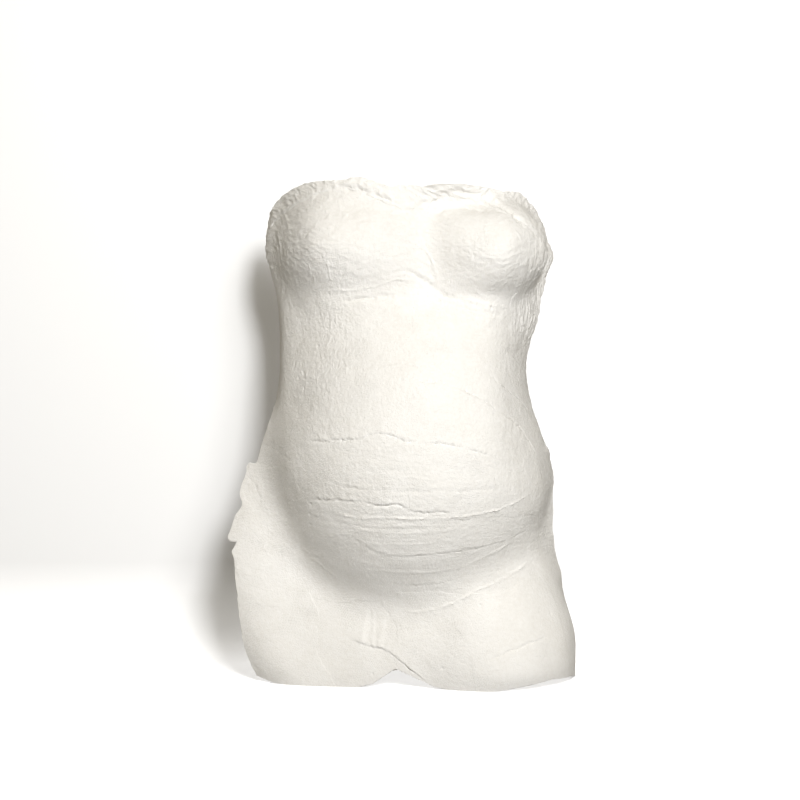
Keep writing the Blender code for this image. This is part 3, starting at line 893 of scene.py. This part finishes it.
def plaster(name, light, shade, weave_height, grain_height):
    """Dry plaster over gauze: even warm white, chalky, with the weave and a leathery grain as bump."""
    material, tree, shader = new_material(name)
    place = tree.nodes.new("ShaderNodeTexCoord")
    solid, cloth = place.outputs["Object"], place.outputs["UV"]

    def cloud(kind="FBM", **values):
        node = add_node(tree, "TexNoise", "Vector", solid, **values)
        node.noise_type = kind
        return node.outputs[0]

    def times(first, second):
        return maths(tree, "MULTIPLY", first, second)

    mottle = cloud(scale=22.0, detail=4.0, roughness=.55)
    specks = cloud(scale=260.0, detail=3.0, roughness=.6)
    mixed = maths(tree, "ADD", times(mottle, .5), times(specks, .5))
    link(tree, ramp(tree, mixed, [(.36, shade), (.58, light)]), shader.inputs["Base Color"])
    rough = add_node(tree, "MapRange", "Value", specks, to_min=.62, to_max=.9)
    link(tree, rough.outputs["Result"], shader.inputs["Roughness"])
    shader.inputs["Specular IOR Level"].default_value = .35
    # The gauze's threads, which show through in places.
    threads = []
    for direction in ("X", "Y"):
        wave = add_node(tree, "TexWave", "Vector", cloth, scale=190.0, distortion=4.0, detail=2.0,
                        detail_scale=.8)
        wave.bands_direction = direction
        threads.append(wave.outputs["Color"])
    showing = ramp(tree, cloud(scale=34.0, detail=4.0), [(.46, (.05,) * 3), (.66, (1.0,) * 3)])
    weave = times(maths(tree, "MAXIMUM", threads[0], threads[1]), showing)
    leather = cloud(scale=300.0, detail=4.0, roughness=.65)
    grain = cloud(scale=720.0, detail=3.0, roughness=.6)
    # Fine creases where the wet gauze puckered, in patches.
    creases = cloud("RIDGED_MULTIFRACTAL", scale=62.0, detail=5.0, roughness=.6, distortion=.5)
    puckered = ramp(tree, cloud(scale=26.0, detail=3.0), [(.42, (.15,) * 3), (.62, (1.0,) * 3)])
    # The thighs are smoothed off more than the chest and the belly.
    where = add_node(tree, "SeparateXYZ", "Vector", solid)
    high = add_node(tree, "MapRange", "Value", where.outputs["Z"], from_min=.08, from_max=.2,
                    to_min=.25).outputs["Result"]
    layers = (
        (weave_height, weave),
        (grain_height, times(leather, high)),
        (.55 * grain_height, grain),
        (.6 * grain_height, times(times(creases, puckered), high)),
    )
    normal = None
    for height, output in layers:
        bump = add_node(tree, "Bump", "Height", output, distance=height)
        if normal:
            link(tree, normal, bump.inputs["Normal"])
        normal = bump.outputs["Normal"]
    link(tree, normal, shader.inputs["Normal"])
    return material


# ---------------- stage, light and camera
STAGE_REACH = 4.0       # how far the stage goes to each side and to the front
FLOOR_BACK = 6.0        # how far the floor goes to the back
FLOOR_TOP = -.001       # the floor lies just below the sweep
WALL_TOP = 2.0
WALL_GAP = .11          # from the object's back to the wall
BEND = .1               # radius of the bend between wall and ground
BEND_STEPS = 8
WALL_GLOW = .02         # strengths of the stage's own light, as the camera sees it
FLOOR_GLOW = .14
FLOOR_BOUNCE = .24      # and as everything sees it
LIGHT_TARGET = (0.0, 0.0, .27)
CAMERA_TARGET = (-.0042, -.0125, .2925)
CAMERA_DISTANCE = 1.8
CAMERA_ELEVATION = 1.5  # degrees


def stage_surface(name, profile, one_sided):
    """A plain white surface that isn't part of the object: a profile (y, z) drawn out sideways."""
    points = [(x, y, z) for x in (-STAGE_REACH, STAGE_REACH) for y, z in profile]
    count = len(profile)
    faces = [(i, count + i, count + i + 1, i + 1) for i in range(count - 1)]
    mesh = bpy.data.meshes.new(name)
    mesh.from_pydata(points, [], faces)
    mesh.shade_smooth()
    stage = add_object(name, mesh)
    material, tree, shader = new_material(name + "_white")
    shader.inputs["Roughness"].default_value = .9
    shader.inputs["Specular IOR Level"].default_value = .1
    # White to look at, but it sends less light back on to the object, as a small table does.
    looked_at = tree.nodes.new("ShaderNodeLightPath").outputs["Is Camera Ray"]
    white = ramp(tree, looked_at, [(0.0, (.1, .097, .09)), (1.0, (.62, .62, .62))])
    link(tree, white, shader.inputs["Base Color"])
    # The floor takes the light at a slant, so it is made up to the wall's white. What faces up
    # also glows a little by itself, which lights the object from below.
    geometry = tree.nodes.new("ShaderNodeNewGeometry")
    facing_up = add_node(tree, "SeparateXYZ", "Vector", geometry.outputs["Normal"]).outputs["Z"]
    glow = add_node(tree, "MapRange", "Value", facing_up, to_min=WALL_GLOW, to_max=FLOOR_GLOW)
    shader.inputs["Emission Color"].default_value = (1.0, 1.0, 1.0, 1.0)
    seen_glow = maths(tree, "MULTIPLY", looked_at, glow.outputs["Result"])
    bounce = maths(tree, "MULTIPLY", facing_up, FLOOR_BOUNCE)
    link(tree, maths(tree, "ADD", seen_glow, bounce), shader.inputs["Emission Strength"])
    if one_sided:
        clear = tree.nodes.new("ShaderNodeBsdfTransparent").outputs["BSDF"]
        behind = geometry.outputs["Backfacing"]
        mix_shaders(tree, behind, shader.outputs["BSDF"], clear, "Material Output")
    mesh.materials.append(material)
    # The back fill shines through a one-sided surface.
    stage.visible_shadow = not one_sided
    return stage


def area_light(name, azimuth, elevation, distance, size, power, colour):
    """A square soft light aimed at the object; azimuth 0 is in front and 90 on the viewer's right."""
    a, e = math.radians(azimuth), math.radians(elevation)
    away = Vector((math.sin(a) * math.cos(e), -math.cos(a) * math.cos(e), math.sin(e)))
    data = bpy.data.lights.new(name, "AREA")
    data.size = size
    data.energy = power
    data.color = colour
    light = add_object(name, data)
    light.location = Vector(LIGHT_TARGET) + away * distance
    light.rotation_mode = "QUATERNION"
    light.rotation_quaternion = away.to_track_quat("Z", "Y")
    return light


def backdrop():
    """The white wall behind the object, which bends into the ground, and the floor below it."""
    wall = cad_high.y + WALL_GAP
    sweep = [(-STAGE_REACH, 0.0)]
    for step in range(BEND_STEPS + 1):
        angle = .5 * math.pi * step / BEND_STEPS
        sweep.append((wall - BEND + BEND * math.sin(angle), BEND - BEND * math.cos(angle)))
    sweep.append((wall, WALL_TOP))
    floor = [(-STAGE_REACH, FLOOR_TOP), (FLOOR_BACK, FLOOR_TOP)]
    return stage_surface("sweep", sweep, True), stage_surface("floor", floor, False)


def lights(stage):
    """Lamps and the light of the room; the world is white to look at, and fills with a warm tone."""
    area_light("key", azimuth=12.0, elevation=28.0, distance=1.9, size=.34, power=32.5,
               colour=(.985, .99, 1.0))
    # A softer lamp near the key lights only the stage, so that it is white but for the shadow.
    stage_light = area_light("stage_key", azimuth=17.0, elevation=28.0, distance=1.9, size=.75,
                             power=34.0, colour=(1.0, 1.0, 1.0))
    lit = bpy.data.collections.new("lit_stage")
    for surface in stage:
        lit.objects.link(surface)
    stage_light.light_linking.receiver_collection = lit
    area_light("back_fill", azimuth=180.0, elevation=34.0, distance=2.2, size=.7, power=36.0,
               colour=(1.0, .985, .965))
    world = bpy.data.worlds.new("studio")
    bpy.context.scene.world = world
    world.use_nodes = True
    tree = world.node_tree
    fill = tree.nodes["Background"]
    fill.inputs["Color"].default_value = (1.0, .84, .52, 1.0)
    fill.inputs["Strength"].default_value = .28
    seen = tree.nodes.new("ShaderNodeBackground")
    seen.inputs["Color"].default_value = (1.0, 1.0, 1.0, 1.0)
    looked_at = tree.nodes.new("ShaderNodeLightPath").outputs["Is Camera Ray"]
    first, second = fill.outputs["Background"], seen.outputs["Background"]
    mix_shaders(tree, looked_at, first, second, "World Output")
    bpy.context.scene.view_settings.view_transform = "Standard"


def camera():
    """The photograph's view: from the front, just above the horizontal."""
    elevation = math.radians(CAMERA_ELEVATION)
    back = Vector((0.0, -math.cos(elevation), math.sin(elevation)))
    data = bpy.data.cameras.new("camera")
    data.sensor_width = 36.0
    data.lens = 78.64
    view = add_object("camera", data)
    view.location = Vector(CAMERA_TARGET) + back * CAMERA_DISTANCE
    view.rotation_mode = "QUATERNION"
    view.rotation_quaternion = (-back).to_track_quat("-Z", "Y")
    bpy.context.scene.camera = view


outer_plaster = plaster("plaster_outer", (.87, .86, .84), (.82, .805, .775), .00022, .00095)
inner_plaster = plaster("plaster_inner", (.82, .807, .778), (.74, .721, .68), .0005, .0007)
fold_plaster = plaster("plaster_fold", (.88, .87, .85), (.82, .805, .775), .00022, .001)

skin = Skin()
broad = broad_relief(skin)
outside = surface_relief(skin)
lay_outer(skin, broad, outside, outer_plaster)
lay_inner(skin, broad, inside_relief(skin), inner_plaster)
lay_folded(skin, broad, outside, fold_plaster)
lights(backdrop())
camera()
